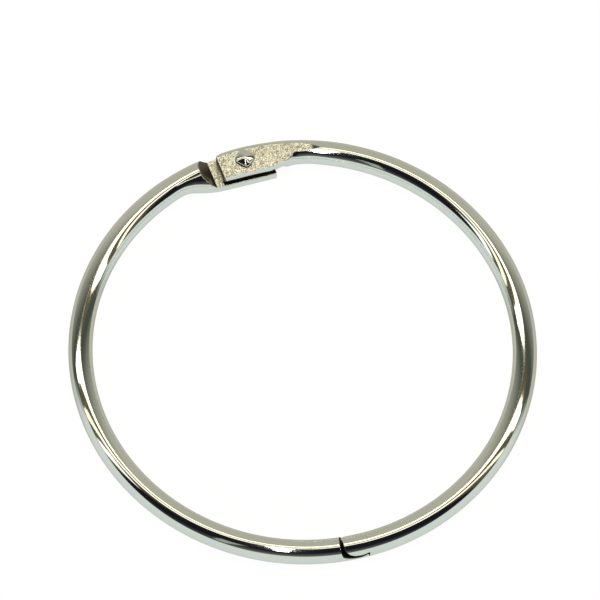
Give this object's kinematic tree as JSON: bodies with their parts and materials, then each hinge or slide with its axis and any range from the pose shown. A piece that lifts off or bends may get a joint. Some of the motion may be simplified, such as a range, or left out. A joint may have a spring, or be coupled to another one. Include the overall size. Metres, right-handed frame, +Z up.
{
  "type": "binder ring",
  "caption": "Closed wire ring in two half circles that swing apart on a rivet through stacked flat tangs and meet in a hooked half lap, for holding punched sheets.",
  "frame": {"origin": "centre of the ring, on the plane that the wire lies on", "axes": "+Z up out of the flat ring, +Y from the centre towards the hinge, +X towards the half with the upper tang"},
  "size_m": [0.0558, 0.0554, 0.0035],
  "materials": {
    "nickel_plate": "bright nickel plate, coined and speckled on the tang",
    "rivet_plate": "bright nickel plate"
  },
  "bodies": {
    "left_half": {"left_half_ring": "nickel_plate", "hinge_rivet": "rivet_plate"},
    "right_half": {"right_half_ring": "nickel_plate"}
  },
  "joints": [
    {"name": "hinge", "type": "hinge", "parent": "left_half", "child": "right_half", "pos_m": [0, 0.02574, 0.00145], "axis": [0, 0, 1], "range_deg": [0, 120]}
  ]
}
